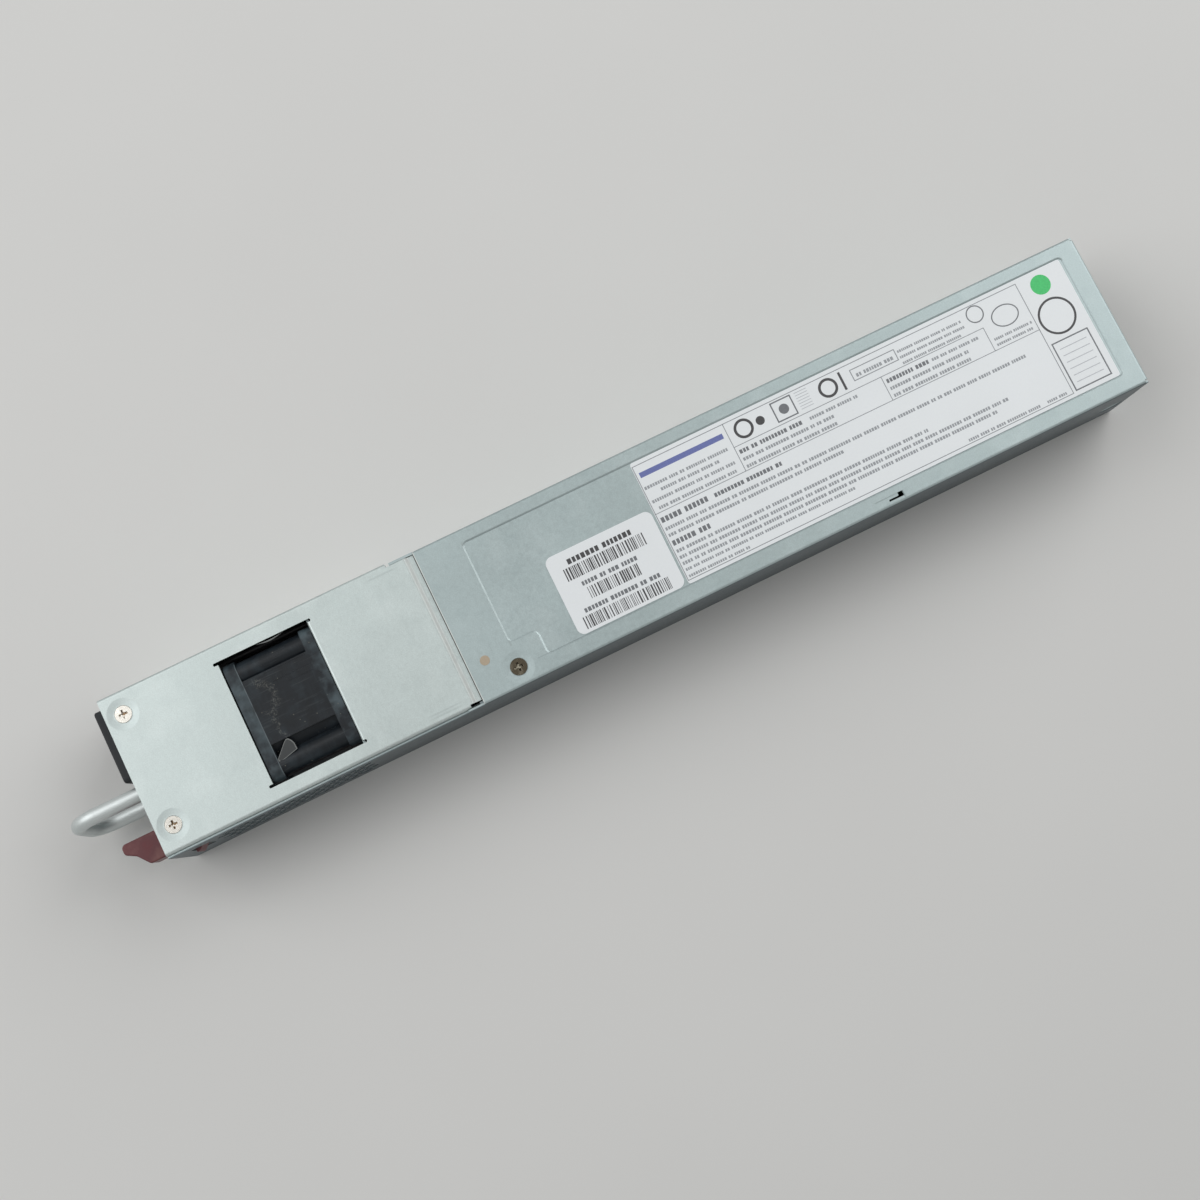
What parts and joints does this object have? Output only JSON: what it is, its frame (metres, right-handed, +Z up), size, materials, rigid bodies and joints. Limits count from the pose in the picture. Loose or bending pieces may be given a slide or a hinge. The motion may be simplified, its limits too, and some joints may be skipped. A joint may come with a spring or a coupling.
{
  "type": "hot swap server power supply",
  "caption": "Long flat sheet-steel power supply module for a server rack, with an AC inlet, pull handle, release latch and fan at one end and a plug-in output at the other.",
  "frame": {"origin": "centre of the case's bottom face", "axes": "+Y along the case from the handle end to the output connector, +Z up from the bottom face, +X towards the side with the release latch"},
  "size_m": [0.0562, 0.377, 0.0403],
  "materials": {
    "plated_steel": "satin zinc plated sheet",
    "nickel_screws": "bright nickel plate",
    "dark_screw": "darker nickel plate",
    "aluminium_rod": "satin",
    "aluminium_sink": "extruded",
    "black_plastic": "satin moulded",
    "dark_grey_plastic": "moulded",
    "maroon_plastic": "moulded",
    "green_lens": "clear tinted",
    "plated_contacts": "tin and gold plated",
    "lead_black": "insulated lead",
    "lead_red": "insulated lead",
    "board_green": "solder mask",
    "insulator": "sheet",
    "ferrite": "sintered",
    "copper_winding": "enamelled wire",
    "yellow_tape": "taped winding",
    "capacitor_box": "moulded",
    "capacitor_sleeve": "shrink sleeve",
    "ceramic_blue": "dipped",
    "fuse_body": "fired",
    "device_epoxy": "moulded",
    "stator_iron": "laminated",
    "magnet": "bonded magnet",
    "label_paper": "matt label stock",
    "peach_paint": "paint mark"
  },
  "bodies": {
    "case": {"base_tray": "plated_steel", "rear_cover": "plated_steel", "front_cover": "plated_steel", "front_panel": "plated_steel", "rear_panel": "plated_steel", "front_cover_screws": "nickel_screws", "rear_cover_screw": "dark_screw", "side_screws": "nickel_screws", "clinch_nuts": "nickel_screws", "inlet_housing": "dark_grey_plastic", "inlet_pins": "plated_contacts", "inlet_leads": "lead_black", "pull_handle": "aluminium_rod", "handle_screws": "nickel_screws", "latch_pin": "nickel_screws", "latch_bracket": "plated_steel", "latch_spring": "nickel_screws", "light_lens": "green_lens", "light_board": "board_green", "light_lead": "lead_red", "fan_frame": "black_plastic", "fan_stator": "stator_iron", "fan_bearings": "nickel_screws", "fan_bulkhead": "plated_steel", "fan_screws": "nickel_screws", "fan_lead": "lead_black", "main_board": "board_green", "board_standoffs": "nickel_screws", "board_screws": "nickel_screws", "insulating_sheet": "insulator", "line_fuse": "fuse_body", "line_choke": "ferrite", "filter_capacitors": "capacitor_box", "disc_capacitors": "ceramic_blue", "inrush_relay": "device_epoxy", "bridge_rectifier": "device_epoxy", "boost_choke_core": "ferrite", "boost_choke_winding": "copper_winding", "primary_heatsink": "aluminium_sink", "power_transistors": "device_epoxy", "bulk_capacitor": "capacitor_sleeve", "transformer_core": "ferrite", "transformer_winding": "yellow_tape", "standby_transformer": "yellow_tape", "control_board": "board_green", "output_choke": "copper_winding", "output_capacitors": "capacitor_sleeve", "output_heatsink": "aluminium_sink", "connector_housing": "black_plastic", "power_blades": "plated_contacts", "signal_pins": "plated_contacts", "rating_label": "label_paper", "identity_label": "label_paper", "paint_dot": "peach_paint"},
    "latch": {"latch_lever": "maroon_plastic"},
    "impeller": {"fan_impeller": "black_plastic", "fan_shaft": "nickel_screws", "rotor_magnet": "magnet"}
  },
  "joints": [
    {"name": "latch_press", "type": "hinge", "parent": "case", "child": "latch", "pos_m": [0.0212, -0.15, 0.025], "axis": [0, 0, 1], "range_deg": [-8, 0], "stiffness_Nm_per_rad": 0.6, "springref_deg": 5.73, "deforming": ["latch_spring"]},
    {"name": "impeller_spin", "type": "hinge", "parent": "case", "child": "impeller", "pos_m": [0.00015, -0.12, 0.0201], "axis": [0, 1, 0], "continuous": true}
  ]
}
